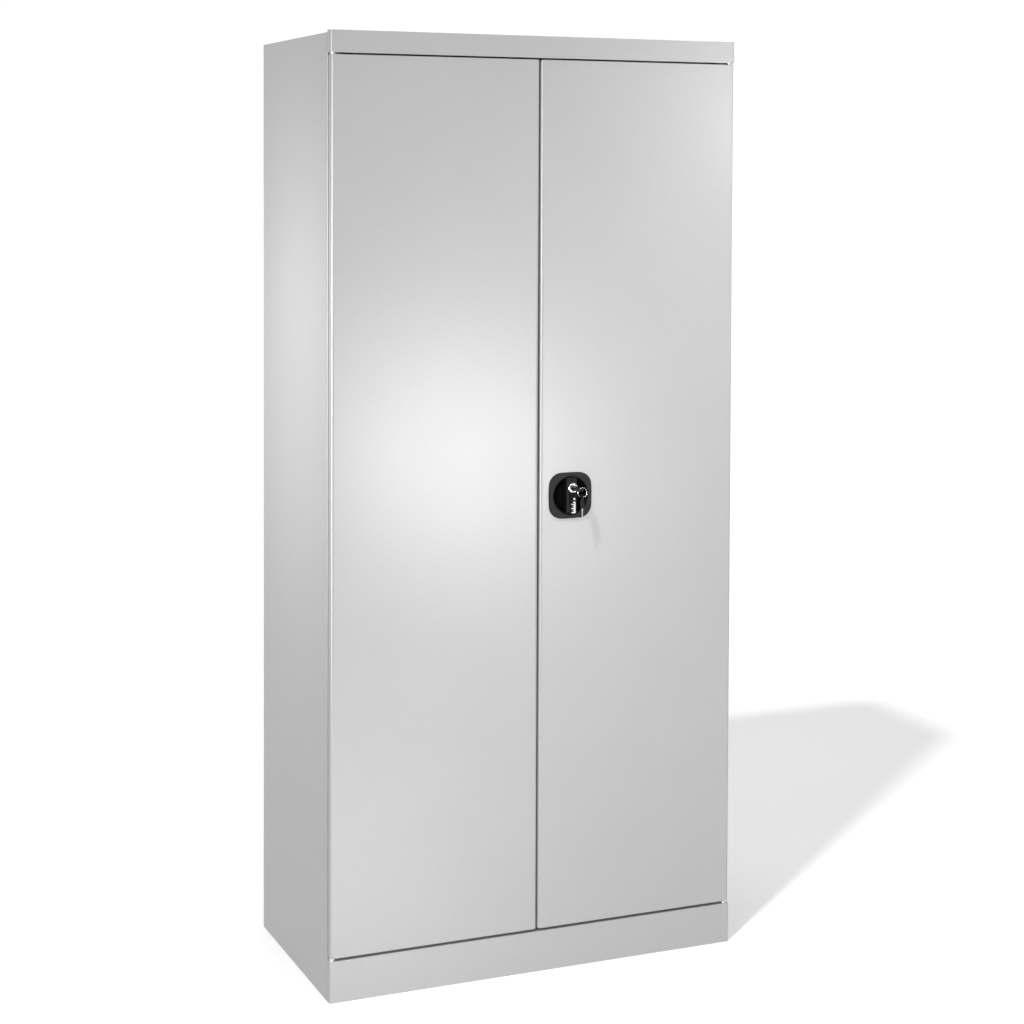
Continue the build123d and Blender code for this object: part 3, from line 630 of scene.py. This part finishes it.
# Floor, light and camera
# A plain pale floor runs out of sight in a pale room. A sun high on the left throws the
# shadow, soft boxes give the doors their glow and lift what is too dim, and a wide one far
# to the left draws the bright lines along the bends.
floor_half = 300.0
floor_cells = 8
haze_size = 1.2
haze_dull = 0.980
haze_bright = 0.990
floor_roughness = 0.6
haze_roughness = 0.1

floor_shape = bmesh.new()
bmesh.ops.create_grid(
    floor_shape, x_segments=floor_cells, y_segments=floor_cells, size=floor_half)
floor_mesh = bpy.data.meshes.new("floor")
floor_shape.to_mesh(floor_mesh)
floor_shape.free()
floor = bpy.data.objects.new("floor", floor_mesh)
floor.visible_diffuse = False        # what it throws back comes from the room's lower half
bpy.context.scene.collection.objects.link(floor)
pale_floor = Finish("pale floor", Specular_IOR_Level=0.1)
haze = pale_floor.noise(haze_size)
pale_floor.paint(
    colour=pale_floor.mix(haze, grey(haze_dull), grey(haze_bright)),
    roughness=floor_roughness + haze * haze_roughness)
floor_mesh.materials.append(pale_floor.material)


def lamp(light, place, target):
    """Hangs a light at a place, turned to a target, and keeps it out of the camera's sight."""
    hung = bpy.data.objects.new(light.name, light)
    hung.location = place
    hung.rotation_euler = (Vector(target) - Vector(place)).to_track_quat("-Z", "Y").to_euler()
    hung.visible_camera = False
    bpy.context.scene.collection.objects.link(hung)
    return hung


def soft_box(name, place, target, size, watts, spread):
    """A round soft box that lights within that spread, in degrees."""
    light = bpy.data.lights.new(name, "AREA")
    light.shape = "DISK"
    light.size = size
    light.energy = watts
    light.spread = radians(spread)
    return lamp(light, place, target)


sun_place = (-2.72, -2.28, 3.63)
sun_target = (0, 0, 0)
glow_place = (0.89, -2.98, 0.72)
glow_target = (-0.10, -0.2, 1.10)
fill_size = 0.3
fills = [                     # name, place, target, watts and spread
    ("low left fill", (-0.46, -1.0, 0.25), (-0.45, -0.2, 0.24), 1.35, 120),
    ("upper left fill", (-0.48, -1.0, 1.78), (-0.46, -0.2, 1.74), 0.42, 120),
    ("upper right fill", (0.95, -1.0, 1.85), (0.38, -0.2, 1.66), 2.7, 120),
    ("upper side fill", (-1.35, -0.1, 1.50), (-0.455, 0, 1.42), 1.0, 75),
    ("lower side fill", (-1.35, 0, 1.20), (-0.455, 0, 1.0), 0.5, 75)]
strip_place = (-3.4, -2.0, 1.05)
strip_target = (-0.45, -0.2, 1.05)

sun = bpy.data.lights.new("high left light", "SUN")
sun.angle = radians(3.5)
sun.energy = 1.6
lamp(sun, sun_place, sun_target).visible_glossy = False
soft_box("door glow", glow_place, glow_target, size=0.6, watts=41, spread=180)
for name, place, target, watts, spread in fills:
    soft_box(name, place, target, fill_size, watts, spread).visible_glossy = False
strip = bpy.data.lights.new("bend strip", "AREA")
strip.shape = "RECTANGLE"
strip.size = 1.2
strip.size_y = 2.1
strip.energy = 320
lamp(strip, strip_place, strip_target).visible_diffuse = False

front_level = 0.08            # how bright the room is in front, behind, overhead and below
rear_level = 1.03
ceiling_level = 0.88
floor_level = 0.46
rear_starts = 0.45            # the rear takes over between these parts of a direction's Y
rear_full = 0.80
ceiling_starts = 0.10         # the ceiling does between these parts of its Z
ceiling_full = 0.75
floor_ends = 0.44             # and the floor ends between these, from 0 down to 1 up
walls_full = 0.497

room = bpy.data.worlds.new("pale room")
bpy.context.scene.world = room
room.use_nodes = True
walls = Shading(room.node_tree)
facing = walls.node("TexCoord", out="Generated")
backward = walls.node("SeparateXYZ", sockets={0: facing}, out="Y")
upward = walls.node("SeparateXYZ", sockets={0: facing}, out="Z")
behind = walls.ramp(backward, rear_starts, rear_full)
above = walls.ramp(upward, ceiling_starts, ceiling_full)
over_floor = walls.ramp(upward * 0.5 + 0.5, floor_ends, walls_full)
wall_level = front_level + behind * (rear_level - front_level)
upper_level = wall_level + above * (ceiling_level - wall_level)
room_level = floor_level + over_floor * (upper_level - floor_level)
walls.feed(room.node_tree.nodes["Background"], {"Color": (1, 1, 1, 1), "Strength": room_level})

camera_place = (-1.73360, -4.15443, 1.66112)
camera_yaw = 0.4003
camera_pitch = 0.033
camera_roll = 0.0038
focal_px = 2087
frame_px = 1024
centre_down_px = 266.9        # the lens is shifted, so the view's middle lies this far below it

forward = Vector((
    sin(camera_yaw) * cos(camera_pitch), cos(camera_yaw) * cos(camera_pitch), -sin(camera_pitch)))
level_right = Vector((cos(camera_yaw), -sin(camera_yaw), 0))
level_up = level_right.cross(forward)
camera_right = cos(camera_roll) * level_right + sin(camera_roll) * level_up
camera_up = cos(camera_roll) * level_up - sin(camera_roll) * level_right
lens = bpy.data.cameras.new("camera")
lens.sensor_width = 36
lens.lens = focal_px / frame_px * lens.sensor_width
lens.shift_y = -centre_down_px / frame_px
camera = bpy.data.objects.new("camera", lens)
bpy.context.scene.collection.objects.link(camera)
turned_to = Matrix((camera_right, camera_up, -forward)).transposed().to_4x4()
camera.matrix_world = Matrix.Translation(camera_place) @ turned_to
bpy.context.scene.camera = camera
bpy.context.scene.view_settings.view_transform = "Standard"
